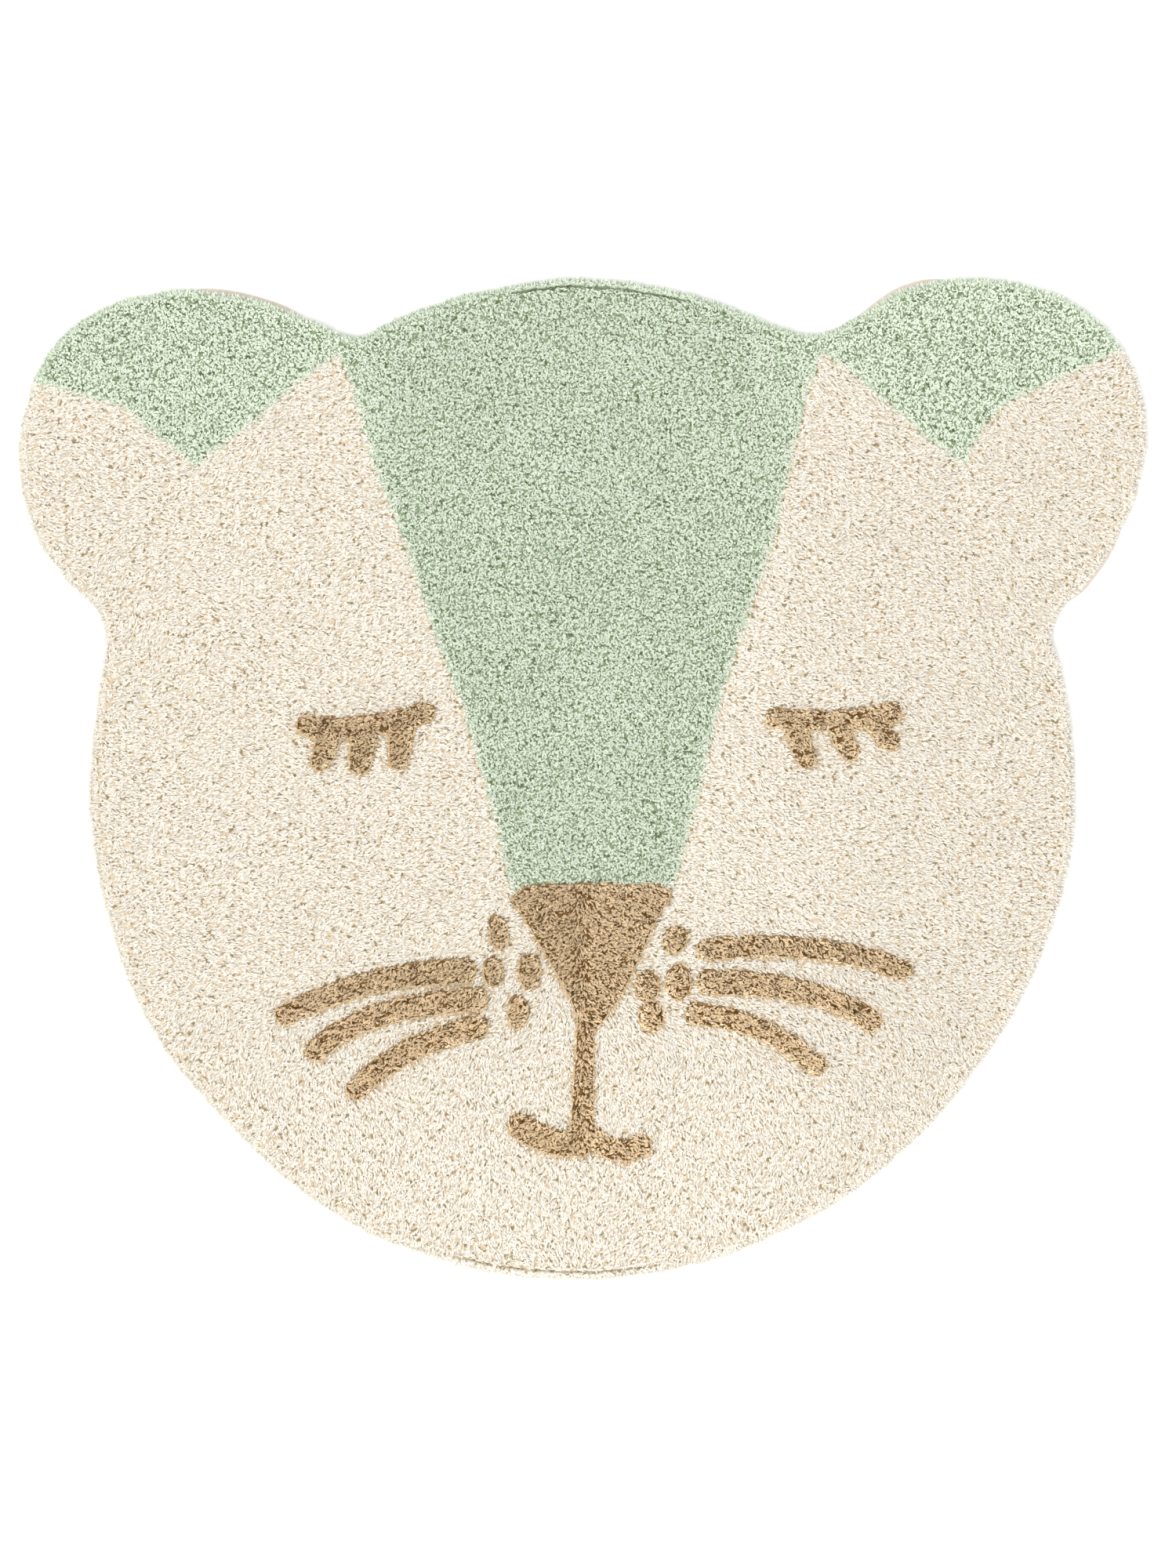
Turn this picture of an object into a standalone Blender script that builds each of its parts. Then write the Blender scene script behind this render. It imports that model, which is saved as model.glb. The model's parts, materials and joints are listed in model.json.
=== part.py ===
"""Nursery rug tufted in cotton, in the outline of a sleeping animal's head.

The rug lies flat on the floor. X runs to the right across the face, Y runs up
to the ears, and Z rises out of the pile. The origin is the middle of the
underside. Two pieces make the rug: a canvas backing cloth with a turned hem,
and the tufted pile on it, whose face features are tufted longer than the rest.
"""

import math

import bmesh
import bpy
from mathutils import Vector, noise

MM = 0.001

# Heights, in metres.
CANVAS_THICKNESS = 0.0024
PIECE_GAP = 0.0003
PILE_HEIGHT = 0.0140
FEATURE_RISE = 0.0050
FEATURE_ROOT = 0.0045
FEATURE_EDGE = 0.0022
PILE_BASE = CANVAS_THICKNESS + PIECE_GAP
PILE_TOP = PILE_BASE + PILE_HEIGHT

# Outline of the head and ears, clockwise from the notch beside the left ear.
# A smooth closed curve runs through these places.
OUTLINE = (
    # place, x in mm, y in mm
    ("left ear notch", -244, 471),
    ("crown left", -198, 490),
    ("crown left shoulder", -132, 513),
    ("crown upper left", -75, 525),
    ("crown top", -15, 532),
    ("crown right shoulder", 96, 520),
    ("crown right", 158, 502),
    ("crown right end", 212, 480),
    ("right ear notch", 250, 473),
    ("right ear root", 290, 493),
    ("right ear inner", 343, 525),
    ("right ear top", 411, 532),
    ("right ear crest", 478, 524),
    ("right ear upper", 534, 498),
    ("right ear shoulder", 576, 452),
    ("right ear outer", 598, 388),
    ("right ear lower", 594, 322),
    ("right ear heel", 565, 247),
    ("right ear drop", 536, 204),
    ("right cheek notch", 501, 163),
    ("right temple", 511, 105),
    ("right cheek top", 523, 8),
    ("right cheek", 516, -94),
    ("right jaw upper", 477, -212),
    ("right jaw", 409, -321),
    ("right jaw lower", 319, -415),
    ("chin right", 211, -483),
    ("chin right end", 89, -524),
    ("chin", -38, -532),
    ("chin left end", -165, -508),
    ("chin left", -283, -451),
    ("left jaw lower", -378, -367),
    ("left jaw", -458, -268),
    ("left jaw upper", -505, -148),
    ("left cheek", -526, -22),
    ("left temple", -514, 104),
    ("left cheek notch", -511, 165),
    ("left ear drop", -554, 214),
    ("left ear heel", -588, 270),
    ("left ear lower", -600, 338),
    ("left ear outer", -591, 401),
    ("left ear shoulder", -564, 458),
    ("left ear upper", -515, 498),
    ("left ear crest", -452, 517),
    ("left ear top", -390, 520),
    ("left ear inner", -327, 506),
    ("left ear root", -277, 484),
)
CURVE_STEPS = 24
RIM_PITCH = 0.010

# Section of the pile's rim, from its foot up to the field.
PILE_RIM = (
    # place, reach past the outline in mm, height over the pile's base in mm, lump share, crease share
    ("foot", -3.0, 0.0, 0.3, 0.0),
    ("side", -0.4, 4.5, 1.0, 0.0),
    ("shoulder", -1.2, 9.5, 1.0, 0.0),
    ("crest", -5.0, 13.2, 0.5, 0.0),
    ("lip", -9.4, 13.7, 0.3, 0.15),
    ("crease", -11.3, 13.8, 0.2, 1.0),
    ("bank", -13.3, 13.9, 0.2, 0.1),
    ("field edge", -18.0, 14.0, 0.0, 0.0),
)
LOCK_LUMP = 0.0016
FIELD_LUMP = 0.0010
FIELD_LUMP_LENGTH = 0.060
FIELD_CELL = 0.036

# Section of the backing's turned hem, which lies flat on the floor.
HEM_RIM = (
    # place, reach past the outline in mm, height above the floor in mm
    ("sole", -1.2, 0.0),
    ("fold", 0.0, 1.2),
    ("top", -1.2, 2.4),
)
HEM_TUCK = 0.0045
HEM_SHOW = 0.0020

# Stretches where the hem shows past the pile, counted in places of the outline.
HEM_SHOWS = (
    # stretch, first place, last place
    ("right ear inner", 9.0, 10.6),
    ("right ear heel", 16.8, 18.4),
    ("left ear inner", 43.6, 45.6),
)

# Stretches where the outer rows fall outward and leave a crease, counted in places.
CREASES = (
    # stretch, first place, last place, depth in mm
    ("crown", 2.95, 5.3, 5.0),
    ("chin", 27.05, 28.9, 4.4),
)
STRETCH_FADE = 0.4

# Bars, lashes, whiskers and mouth: strokes with round ends that follow an arc.
STROKES = (
    # stroke, start, middle, end (x, y in mm), start width, end width in mm
    ("left eye bar", (-295, 57), (-236, 54), (-163, 71), 25, 24),
    ("left eye outer lash", (-269, 52), (-272, 32), (-279, 15), 32, 22),
    ("left eye middle lash", (-230, 52), (-233, 31), (-237, 13), 32, 26),
    ("left eye inner lash", (-191, 58), (-193, 34), (-195, 16), 30, 23),
    ("right eye bar", (200, 65), (263, 61), (330, 70), 23, 23),
    ("right eye inner lash", (225, 54), (231, 33), (239, 18), 28, 22),
    ("right eye middle lash", (271, 57), (276, 39), (284, 26), 29, 20),
    ("right eye outer lash", (307, 61), (316, 48), (327, 38), 25, 22),
    ("stem", (3, -250), (1, -315), (-2, -380), 20, 27),
    ("mouth left", (-69, -364), (-38, -382), (0, -387), 30, 28),
    ("mouth right", (0, -372), (34, -392), (64, -386), 27, 25),
    ("left whisker upper", (-122, -203), (-225, -216), (-318, -251), 29, 24),
    ("left whisker middle", (-109, -233), (-216, -250), (-285, -290), 27, 25),
    ("left whisker lower", (-108, -261), (-188, -290), (-241, -331), 27, 25),
    ("right whisker upper", (127, -181), (248, -180), (340, -204), 25, 23),
    ("right whisker middle", (129, -215), (236, -226), (307, -258), 28, 24),
    ("right whisker lower", (115, -248), (189, -265), (249, -306), 25, 23),
)
STROKE_STATIONS = 7
CAP_POINTS = 3
CAP_REACH = 0.7

# Whisker spots: ellipses.
SPOTS = (
    # spot, x, y, width, height in mm, tilt in degrees
    ("left upper spot", -89, -163, 24, 40, 10),
    ("left outer spot", -95, -204, 24, 35, 0),
    ("left inner spot", -56, -204, 27, 41, 0),
    ("left lower spot", -69, -247, 25, 40, 0),
    ("right upper spot", 97, -171, 27, 33, -40),
    ("right inner spot", 68, -220, 28, 36, 0),
    ("right outer spot", 101, -216, 30, 40, 0),
    ("right lower spot", 72, -252, 30, 38, 0),
)
SPOT_POINTS = 12

# Nose: a rounded triangle under the forehead, a smooth closed curve through these corners.
NOSE = (
    # corner, x in mm, y in mm
    ("upper left", -75, -125),
    ("bridge", -20, -111),
    ("bridge right", 50, -112),
    ("upper right", 93, -119),
    ("right shoulder", 80, -147),
    ("right flank", 62, -188),
    ("lower right", 28, -250),
    ("tip", 4, -268),
    ("lower left", -15, -232),
    ("left flank", -43, -183),
    ("left shoulder", -63, -149),
)
NOSE_STEPS = 3

MATERIALS = {
    # material: colour, roughness
    "pile cotton": ((0.83, 0.77, 0.65, 1.0), 0.95),
    "backing canvas": ((0.72, 0.62, 0.49, 1.0), 0.9),
}


def clear_scene():
    """Remove whatever the scene holds."""
    for old in list(bpy.data.objects):
        bpy.data.objects.remove(old)


def new_collection(name):
    """Add a collection to the scene."""
    collection = bpy.data.collections.new(name)
    bpy.context.scene.collection.children.link(collection)
    return collection


def make_material(name):
    """Make one plain material from the table."""
    colour, roughness = MATERIALS[name]
    material = bpy.data.materials.new(name)
    material.use_nodes = True
    surface = material.node_tree.nodes["Principled BSDF"]
    surface.inputs["Base Color"].default_value = colour
    surface.inputs["Roughness"].default_value = roughness
    surface.inputs["Metallic"].default_value = 0.0
    return material


def curve_mesh(curve):
    """Turn a curve into a mesh with welded caps, and remove the curve."""
    curve_object = bpy.data.objects.new(curve.name, curve)
    bpy.context.scene.collection.objects.link(curve_object)
    evaluated = curve_object.evaluated_get(bpy.context.evaluated_depsgraph_get())
    mesh = bpy.data.meshes.new_from_object(evaluated)
    bpy.data.objects.remove(curve_object)
    bpy.data.curves.remove(curve)
    welder = bmesh.new()
    welder.from_mesh(mesh)
    bmesh.ops.remove_doubles(welder, verts=welder.verts, dist=0.01 * MM)
    welder.to_mesh(mesh)
    welder.free()
    return mesh


def smooth_loop(places, steps):
    """Points along a smooth closed curve through the places, given in mm."""
    curve = bpy.data.curves.new("loop", "CURVE")
    curve.dimensions = "2D"
    curve.fill_mode = "NONE"
    curve.resolution_u = steps
    spline = curve.splines.new("BEZIER")
    spline.bezier_points.add(len(places) - 1)
    spline.use_cyclic_u = True
    for knot, (_, x, y) in zip(spline.bezier_points, places):
        knot.co = (x * MM, y * MM, 0.0)
        knot.handle_left_type = "AUTO"
        knot.handle_right_type = "AUTO"
    mesh = curve_mesh(curve)
    points = [vertex.co.copy() for vertex in mesh.vertices]
    bpy.data.meshes.remove(mesh)
    return points


def rim_points():
    """Even points round the outline: position, outward direction and place on the outline."""
    dense = smooth_loop(OUTLINE, CURVE_STEPS)
    lengths = [0.0]
    for here, after in zip(dense, dense[1:] + dense[:1]):
        lengths.append(lengths[-1] + (after - here).length)
    count = round(lengths[-1] / RIM_PITCH)
    rim = []
    index = 0
    for number in range(count):
        target = lengths[-1] * number / count
        while lengths[index + 1] <= target:
            index += 1
        share = (target - lengths[index]) / (lengths[index + 1] - lengths[index])
        here = dense[index]
        after = dense[(index + 1) % len(dense)]
        along = (after - here).normalized()
        outward = Vector((-along.y, along.x, 0.0))
        rim.append((here.lerp(after, share), outward, (index + share) / CURVE_STEPS))
    return rim


def smooth_step(low, high, value):
    """Rise softly from 0 to 1 between two values."""
    share = min(1.0, max(0.0, (value - low) / (high - low)))
    return share * share * (3.0 - 2.0 * share)


def stretch_share(place, first, last):
    """1 along a stretch of the outline and 0 away from it, with soft ends."""
    rise = smooth_step(first - STRETCH_FADE, first + STRETCH_FADE, place)
    fall = smooth_step(last - STRETCH_FADE, last + STRETCH_FADE, place)
    return rise * (1.0 - fall)


def hem_share(place):
    """How much of the hem shows at a place on the outline."""
    return max(stretch_share(place, first, last) for _, first, last in HEM_SHOWS)


def crease_depth(place):
    """Depth of the crease behind the outer rows at a place on the outline."""
    return max(depth * MM * stretch_share(place, first, last) for _, first, last, depth in CREASES)


def lock_lump(number):
    """How far one lock at the rim stands out or in, from -1 to 1."""
    return 2.0 * noise.cell(Vector((number + 0.5, 0.5, 0.5))) - 1.0


def loft(shape, rings):
    """Join rings of equal length, bottom to top, and cap both ends. Gives the top face."""
    for lower, upper in zip(rings, rings[1:]):
        for number in range(len(lower)):
            after = (number + 1) % len(lower)
            shape.faces.new((lower[number], upper[number], upper[after], lower[after]))
    shape.faces.new(rings[0])
    return shape.faces.new(reversed(rings[-1]))


def pile_rings(shape, rim):
    """Rings of the pile's lumpy rim, from its foot up to the edge of the field."""
    rings = []
    for _, reach, height, lump, crease in PILE_RIM:
        ring = []
        for number, (point, outward, place) in enumerate(rim):
            offset = reach * MM + LOCK_LUMP * lump * lock_lump(number) - HEM_SHOW * hem_share(place)
            level = PILE_BASE + height * MM - crease * crease_depth(place)
            ring.append(shape.verts.new(point + outward * offset + Vector((0.0, 0.0, level))))
        rings.append(ring)
    return rings


def in_field(face):
    """Whether a face is part of the level field inside the rim."""
    return all(abs(vertex.co.z - PILE_TOP) < 0.01 * MM for vertex in face.verts)


def cut_field(shape, field):
    """Divide the level field into square cells."""
    reach_x = max(abs(vertex.co.x) for vertex in field.verts)
    reach_y = max(abs(vertex.co.y) for vertex in field.verts)
    for axis, reach in ((Vector((1.0, 0.0, 0.0)), reach_x), (Vector((0.0, 1.0, 0.0)), reach_y)):
        count = int(reach / FIELD_CELL)
        for number in range(-count, count + 1):
            faces = [face for face in shape.faces if in_field(face)]
            edges = {edge for face in faces for edge in face.edges}
            corners = {vertex for face in faces for vertex in face.verts}
            bmesh.ops.bisect_plane(
                shape,
                geom=list(corners) + list(edges) + faces,
                dist=2.0 * MM,
                plane_co=axis * FIELD_CELL * number,
                plane_no=axis,
            )


def lump_field(shape):
    """Raise and lower the field inside its edge in soft lumps."""
    inner = [vertex for vertex in shape.verts if all(in_field(face) for face in vertex.link_faces)]
    for vertex in inner:
        lump = noise.noise(Vector((vertex.co.x, vertex.co.y, 0.0)) / FIELD_LUMP_LENGTH)
        vertex.co.z += 2.0 * FIELD_LUMP * lump


def finish_object(shape, name, material, collection):
    """Make the shape a shaded object of the collection."""
    bmesh.ops.recalc_face_normals(shape, faces=shape.faces)
    mesh = bpy.data.meshes.new(name)
    shape.to_mesh(mesh)
    shape.free()
    mesh.materials.append(make_material(material))
    piece = bpy.data.objects.new(name, mesh)
    collection.objects.link(piece)
    return piece


def build_pile(rim, collection):
    """The tufted panel without its features: a lumpy slab with locks at its rim."""
    shape = bmesh.new()
    rings = pile_rings(shape, rim)
    field = loft(shape, rings)
    cut_field(shape, field)
    lump_field(shape)
    return finish_object(shape, "pile", "pile cotton", collection)


def build_backing(rim, collection):
    """The backing cloth, flat underneath, with its turned hem."""
    shape = bmesh.new()
    rings = []
    for _, reach, height in HEM_RIM:
        ring = []
        for point, outward, place in rim:
            offset = reach * MM - HEM_TUCK * (1.0 - hem_share(place))
            ring.append(shape.verts.new(point + outward * offset + Vector((0.0, 0.0, height * MM))))
        rings.append(ring)
    loft(shape, rings)
    return finish_object(shape, "backing", "backing canvas", collection)


def arc_point(start, middle, end, share):
    """Point in mm on the parabola through three places."""
    pull = 2.0 * middle - 0.5 * (start + end)
    return start.lerp(pull, share).lerp(pull.lerp(end, share), share)


def stroke_outline(start, middle, end, first_width, last_width):
    """Closed outline of a stroke with round ends, in mm."""
    start = Vector(start)
    middle = Vector(middle)
    end = Vector(end)
    right_side = []
    left_side = []
    for station in range(STROKE_STATIONS):
        share = station / (STROKE_STATIONS - 1)
        centre = arc_point(start, middle, end, share)
        along = (arc_point(start, middle, end, share + 0.01) - arc_point(start, middle, end, share - 0.01))
        along.normalize()
        half_width = 0.5 * (first_width + (last_width - first_width) * share)
        across = Vector((along.y, -along.x)) * half_width
        if station == 0:
            first_cap = round_cap(centre, -along, -across)
        right_side.append(centre + across)
        left_side.append(centre - across)
    last_cap = round_cap(centre, along, across)
    return right_side + last_cap + left_side[::-1] + first_cap


def round_cap(centre, along, across):
    """Points of a stroke's round end, between its two corners."""
    cap = []
    for number in range(1, CAP_POINTS + 1):
        angle = math.pi * number / (CAP_POINTS + 1)
        bulge = along * across.length * CAP_REACH * math.sin(angle)
        cap.append(centre + across * math.cos(angle) + bulge)
    return cap


def spot_outline(x, y, width, height, tilt):
    """Closed outline of an ellipse, in mm."""
    turn = math.radians(tilt)
    outline = []
    for number in range(SPOT_POINTS):
        angle = 2.0 * math.pi * number / SPOT_POINTS
        right = 0.5 * width * math.cos(angle)
        up = 0.5 * height * math.sin(angle)
        outline.append(Vector((
            x + right * math.cos(turn) - up * math.sin(turn),
            y + right * math.sin(turn) + up * math.cos(turn),
        )))
    return outline


def build_feature(name, outline, collection):
    """A raised feature with soft edges, rooted in the pile: an outline in mm, extruded and bevelled."""
    curve = bpy.data.curves.new(name, "CURVE")
    curve.dimensions = "2D"
    curve.fill_mode = "BOTH"
    curve.bevel_depth = FEATURE_EDGE
    curve.bevel_resolution = 0
    curve.offset = -FEATURE_EDGE
    curve.extrude = 0.5 * (FEATURE_RISE + FEATURE_ROOT) - FEATURE_EDGE
    spline = curve.splines.new("POLY")
    spline.points.add(len(outline) - 1)
    spline.use_cyclic_u = True
    for knot, point in zip(spline.points, outline):
        knot.co = (point.x * MM, point.y * MM, 0.0, 1.0)
    feature = bpy.data.objects.new(name, curve_mesh(curve))
    feature.location.z = PILE_TOP + 0.5 * (FEATURE_RISE - FEATURE_ROOT)
    feature.hide_render = True
    feature.display_type = "WIRE"
    collection.objects.link(feature)


def build_features(collection):
    """Every raised feature of the face."""
    for name, start, middle, end, first_width, last_width in STROKES:
        build_feature(name, stroke_outline(start, middle, end, first_width, last_width), collection)
    for name, x, y, width, height, tilt in SPOTS:
        build_feature(name, spot_outline(x, y, width, height, tilt), collection)
    nose = [point / MM for point in smooth_loop(NOSE, NOSE_STEPS)]
    build_feature("nose", nose, collection)


def raise_features(pile, features):
    """Join the features to the pile, so that the panel stays one piece."""
    union = pile.modifiers.new("features", "BOOLEAN")
    union.operation = "UNION"
    union.solver = "EXACT"
    union.operand_type = "COLLECTION"
    union.collection = features


def main():
    clear_scene()
    rug = new_collection("animal_kids_rug")
    features = new_collection("pile_features")
    rim = rim_points()
    build_backing(rim, rug)
    pile = build_pile(rim, rug)
    build_features(features)
    raise_features(pile, features)


main()
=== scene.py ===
"""Looks of the tufted nursery rug: cut cotton yarns in cream, sage and tan on a hemmed canvas."""
import json
import math

import bmesh
import bpy
import numpy as np
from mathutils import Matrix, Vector, noise
from mathutils.bvhtree import BVHTree

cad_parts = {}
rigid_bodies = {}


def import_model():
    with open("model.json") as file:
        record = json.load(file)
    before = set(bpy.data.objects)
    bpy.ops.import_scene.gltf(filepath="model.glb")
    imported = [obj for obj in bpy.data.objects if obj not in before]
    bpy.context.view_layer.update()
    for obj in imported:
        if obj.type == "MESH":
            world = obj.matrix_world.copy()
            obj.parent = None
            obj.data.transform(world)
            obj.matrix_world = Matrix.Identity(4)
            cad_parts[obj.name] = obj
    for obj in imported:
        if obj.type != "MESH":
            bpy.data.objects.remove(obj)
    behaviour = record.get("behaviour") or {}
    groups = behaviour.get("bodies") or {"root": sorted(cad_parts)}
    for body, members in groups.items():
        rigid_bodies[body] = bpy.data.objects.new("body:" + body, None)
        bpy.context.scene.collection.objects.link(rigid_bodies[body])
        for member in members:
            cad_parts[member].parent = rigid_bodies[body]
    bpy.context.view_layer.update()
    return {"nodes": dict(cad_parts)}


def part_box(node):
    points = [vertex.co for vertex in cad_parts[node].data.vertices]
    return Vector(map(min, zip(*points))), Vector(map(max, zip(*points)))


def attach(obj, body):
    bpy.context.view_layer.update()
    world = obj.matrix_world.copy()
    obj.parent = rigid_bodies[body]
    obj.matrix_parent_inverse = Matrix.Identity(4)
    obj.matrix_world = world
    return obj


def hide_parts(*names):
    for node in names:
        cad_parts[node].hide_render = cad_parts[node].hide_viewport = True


MM = 0.001

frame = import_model()
# The pile's foot, the top of its field, and the least rise of a raised shape over that.
PILE_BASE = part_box("pile")[0][2]
GROUND_TOP = PILE_BASE + 14.0 * MM
FEATURE_STEP = 2.6 * MM
# Vertices of a CAD mesh this near to each other are merged.
MERGE_REACH = 0.01 * MM
# A face points down if its normal's z is below this, and out of a thread's end if its x passes that.
FACING_DOWN = -0.99
FACING_END = 0.9
# Height from which the top of the pile is sought.
ABOVE_PILE = 0.1

# Tufting: rows of stitches. Each stitch is a tuft of cut yarn ends that lean together.
ROW_PITCH = 7.1 * MM
STITCH_PITCH = 4.6 * MM
ENDS_IN_STITCH = (
    # across the row, along the row
    (-2.3 * MM, 0.0 * MM),
    (-1.5 * MM, 1.6 * MM),
    (-1.4 * MM, -1.6 * MM),
    (0.1 * MM, 0.1 * MM),
    (1.5 * MM, 1.6 * MM),
    (1.4 * MM, -1.7 * MM),
    (2.3 * MM, -0.1 * MM),
)
# The sage and tan yarns are thinner, with more ends in a stitch.
ENDS_IN_FINE_STITCH = (
    # across the row, along the row
    (-3.1 * MM, 1.1 * MM),
    (-2.3 * MM, -0.6 * MM),
    (-1.4 * MM, 1.3 * MM),
    (-0.9 * MM, -1.8 * MM),
    (0.0 * MM, 0.2 * MM),
    (0.9 * MM, 1.8 * MM),
    (1.4 * MM, -1.3 * MM),
    (2.3 * MM, 0.6 * MM),
    (3.1 * MM, -1.1 * MM),
)
STITCHES = {"cream": ENDS_IN_STITCH, "sage": ENDS_IN_FINE_STITCH, "tan": ENDS_IN_FINE_STITCH}
ROOT_JITTER = 0.6 * MM
# No root lies nearer the rim than this.
ROOT_INSET = 2.0 * MM
ROOT_DEPTH = {"cream": 3.6 * MM, "sage": 3.6 * MM, "tan": 5.0 * MM}
SEED = 41

# Cut yarn ends of each colour.
YARNS = {
    # yarn: half width, reach of the lean, spread of a tuft's lean and of an end's lean in degrees
    "cream": (1.54 * MM, 7.2 * MM, 16.0, 19.0),
    "sage": (1.40 * MM, 4.7 * MM, 30.0, 45.0),
    "tan": (1.36 * MM, 6.0 * MM, 20.0, 34.0),
}
# Share of the ends that lean the other way, because a cut tuft opens to both sides.
OPENED = {"cream": 0.35, "sage": 0.35, "tan": 0.0}
# Shares of the reach and of the half width that single ends have, from least to most.
REACH_SHARES = (0.7, 1.25)
WIDTH_SHARES = (0.85, 1.15)
# Lay of the pile: away from the middle, fully from this far out, and a little down. Between these two
# places up the rug it turns down over the chin, where the tufts spread by this much more.
LAY_MIDDLE = 90.0 * MM
LAY_CHIN = (-150.0 * MM, -420.0 * MM)
LAY_DOWN = -0.22
CHIN_SPREAD = 0.5
# The raised shapes' yarns lean away from a narrower middle, and more downward.
TAN_MIDDLE = 14.0 * MM
TAN_DOWN = -0.4
# Waves in the lay: their length, how far they turn it in degrees, and the plane of the noise.
SWIRL = (130.0 * MM, 40.0, 3.0)
CURL = (22.0 * MM, 40.0, 7.0)
SAGE_SWIRL = (150.0 * MM, 200.0, 11.0)
# Unevenness of the tips: of the tufts and of the ends.
UNEVEN = {"cream": (0.5 * MM, 0.5 * MM), "sage": (0.5 * MM, 0.6 * MM), "tan": (0.9 * MM, 0.9 * MM)}
# Small partings of the pile: how much longer they are across the rug, their length, and the noise that begins
# and completes them. The yarns in them stand lower and are darker, by painted shade.
PARTINGS = {
    "cream": (0.6, 7.0 * MM, 0.35, 0.70),
    "sage": (1.0, 6.0 * MM, 0.30, 0.70),
    "tan": (0.45, 5.5 * MM, 0.10, 0.55),
}
PARTING_PLANE = 19.0
PARTING_DEPTH = 1.3 * MM
SUNK_PAINTED_SHADE = 0.9
# How far yarns of the raised shapes stray over their edges, how far their roots are set back against
# the way in which they lean, how far the sage strays, and how far tips droop over an edge.
TAN_STRAY = 1.1 * MM
TAN_SHIFT = 2.0 * MM
SAGE_STRAY = 1.0 * MM
TAN_DROOP = 3.2 * MM
# The yarn is tan where the pile stands this far over its field.
TAN_RISE = 2.65 * MM
# Yarns this near a raised shape's edge are paler at the root by this share, as painted light, and less at its
# upper edge, which stays in painted shade.
EDGE_WIDTH = 4.5 * MM
EDGE_PALE = 0.75
UPPER_EDGE_PALE = 0.4
# The sage yarns on the ears are paler at the root by this share.
EAR_PALE = 0.35
# Distances from the middle at which the ears and the sides of the cheeks begin and are reached.
EAR_REACH = (150.0 * MM, 330.0 * MM)
# How much lighter or darker parts of the pile are, in shades, and the places up the rug where two of them
# begin and are reached. The right side is darker by painted shade, away from the light.
EAR_LIGHTER = 0.35
RIGHT_PAINTED_SHADE = 0.35
CHIN_LIGHTER = 0.3
CHIN_REACH = (-250.0 * MM, -420.0 * MM)
MOUTH_LIGHTER = 0.25
MOUTH_REACH = (-200.0 * MM, -260.0 * MM)
# The tips of the other yarns stay below this beside a raised shape.
FIELD_TOP = GROUND_TOP + 1.2 * MM
# A yarn's widest place: how far along it lies, and how far its two edges lie under its ridge in half widths.
YARN_WAIST = 0.45
YARN_EDGE_DROP = 0.5
YARN_ROLL = 25.0
# Half the width of a cone's three-sided foot of radius 1.
FOOT_HALF_WIDTH = 0.866
# Shares of a yarn's square in the flat map: its upper faces, its lower ones, and the margin.
MAP_TOP = 0.60
MAP_UNDER = 0.34
MAP_MARGIN = 0.06

# The dense lower part of the pile lies this far under the cut ends, lower still by this share of a raised
# shape's rise, and this far in from the rim.
GROUND_DROP = 3.2 * MM
FEATURE_DROP = 0.3
GROUND_INSET = 3.0 * MM
# Its foot stays, it is sunk fully from this height up, and it is drawn in between these insets.
GROUND_SUNK_AT = 10.0 * MM
GROUND_DRAWN = (1.0 * MM, 8.0 * MM)
# Its lumps: their length, their height, and the plane of the noise.
GROUND_LUMPS = (11.0 * MM, 0.5 * MM, 5.0)
# Faces larger than this are cut in four, and smaller ones too near the edge of the sage yarn.
GROUND_FACE = 60.0 * MM * MM
EDGE_FACE = 18.0 * MM * MM
EDGE_REACH = 9.0 * MM
# A face of it is steep if its normal's z is below this, and looks up the rug if its y is above that.
STEEP_BELOW = 0.9
UPWARD_ABOVE = 0.25
# Steep faces this far over the field belong to a raised shape.
FOOT_OF_SHAPE = 1.0 * MM

# Rim: the outer rows lean outward over the edge of the backing, less from one of these insets to the other.
RIM_LEAN_FROM = 2.0 * MM
RIM_LEAN_TO = 26.0 * MM
# How far past the rim they may reach, and the shares of it that single ends have.
RIM_OVERHANG = 3.0 * MM
OVERHANG_SHARES = (-0.3, 1.3)
# How far the yarns there give up their own lean, and how strongly they take up the one outward.
RIM_TURN = 0.6
RIM_PULL = 1.1
# A yarn keeps at least this share of its reach at the rim, and this one where it would cross a crease,
# which is looked for at these places along it.
LEAST_REACH = 0.15
CROSSING_REACH = 0.4
PLACES_ALONG = (0.4, 0.7, 1.0)
# Heights over the backing in mm between which the tips past the rim lie.
TIPS_PAST_RIM = (4.0, 11.0)
RIM_ROWS = (
    # inset of the roots, height of the roots over the backing, height of the tips, reach past the foot
    (2.0 * MM, 0.8 * MM, 1.8 * MM, 2.8 * MM),
    (3.0 * MM, 2.5 * MM, 4.8 * MM, 3.3 * MM),
    (4.0 * MM, 5.0 * MM, 8.4 * MM, 3.0 * MM),
    (4.5 * MM, 7.5 * MM, 11.4 * MM, 1.9 * MM),
)
RIM_STITCH = 2.4 * MM
# Unevenness of these rows: stray along the rim, shares of the sizes above and of the reach, and sinking.
RIM_STRAY = 0.35
RIM_UNEVEN = (0.8, 1.2)
RIM_REACH = (0.1, 1.1)
RIM_SUNK = 0.5
# How pale the roots of these rows are: painted light, which takes the painted shade off their roots.
RIM_ROW_PALE = {"cream": 0.8, "sage": 0.4}
# How pale the roots of the other yarns are at the rim, as painted light on the side that faces it, and the
# insets between which that fades.
RIM_ROOT_PALE = 0.75
RIM_ROOTS = (4.0 * MM, 14.0 * MM)
# Insets between which the painted light of the rim, for light through its loose fibres, fades.
RIM_PAINTED_LIGHT_REACH = (0.0 * MM, 9.0 * MM)
# Share of the light on a rim that is side-on to it.
SIDE_ON = 0.6

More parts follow.
